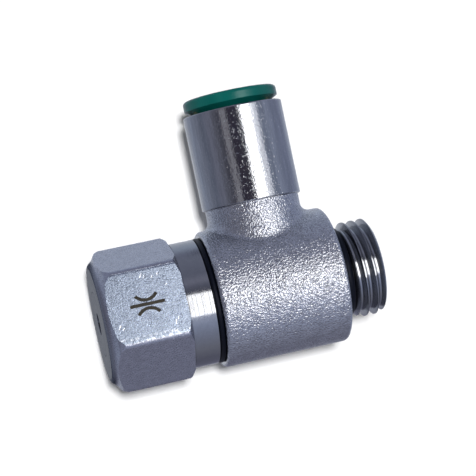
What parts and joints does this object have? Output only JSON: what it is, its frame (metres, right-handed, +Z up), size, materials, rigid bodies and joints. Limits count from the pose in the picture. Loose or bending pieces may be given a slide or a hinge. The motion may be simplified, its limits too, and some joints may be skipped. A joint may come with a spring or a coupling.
{
  "type": "banjo flow control valve",
  "caption": "Swivelling elbow flow control valve in nickel-plated brass: hexagon banjo bolt with recessed needle, short port thread and push-in tube branch.",
  "frame": {"origin": "on the bolt axis, at the face of the banjo ring that faces the port", "axes": "+X along the banjo bolt, out of its port thread; +Y along the tube branch, out of its mouth; +Z up as it lies on its side"},
  "size_m": [0.0383, 0.0363, 0.0186],
  "materials": {
    "turned_nickel": "nickel-plated brass, turned and milled, satin to bright",
    "blasted_nickel": "nickel-plated brass forging, pebbled by blasting, bright where it is turned",
    "turned_brass": "bare turned brass",
    "spring_steel": "rolled stainless spring steel",
    "black_rubber": "moulded nitrile rubber, semi-gloss",
    "green_plastic": "moulded acetal, glossy green"
  },
  "bodies": {
    "bolt": {"banjo_bolt": "turned_nickel", "head_seal_washer": "black_rubber", "port_o_ring": "black_rubber", "stem_o_ring_lower": "black_rubber", "stem_o_ring_upper": "black_rubber", "lip_seal": "black_rubber", "needle_retaining_plug": "turned_nickel"},
    "branch": {"banjo_body": "blasted_nickel", "tube_o_ring": "black_rubber", "grip_washer": "turned_brass", "grip_ring": "spring_steel", "collet_sleeve": "turned_brass"},
    "collet": {"release_collet": "green_plastic"},
    "needle_feed": {"needle_o_ring": "black_rubber"},
    "needle": {"adjusting_needle": "turned_brass"}
  },
  "joints": [
    {"name": "branch_swivel", "type": "hinge", "parent": "bolt", "child": "branch", "pos_m": [-0.0089, 0, 0], "axis": [1, 0, 0], "continuous": true},
    {"name": "collet_press", "type": "slide", "parent": "branch", "child": "collet", "axis": [0, -1, 0], "range_m": [0, 0.0006], "stiffness_N_per_m": 2000, "springref_m": -0.0003},
    {"name": "needle_travel", "type": "slide", "parent": "bolt", "child": "needle_feed", "axis": [-1, 0, 0], "range_m": [0, 0.003]},
    {"name": "needle_turn", "type": "hinge", "parent": "needle_feed", "child": "needle", "pos_m": [-0.0265, 0, 0], "axis": [-1, 0, 0], "range_deg": [0, 2160]}
  ],
  "couplings": [
    {"joint": "needle_turn", "follows": "needle_travel", "rad_per_m": 12566}
  ]
}
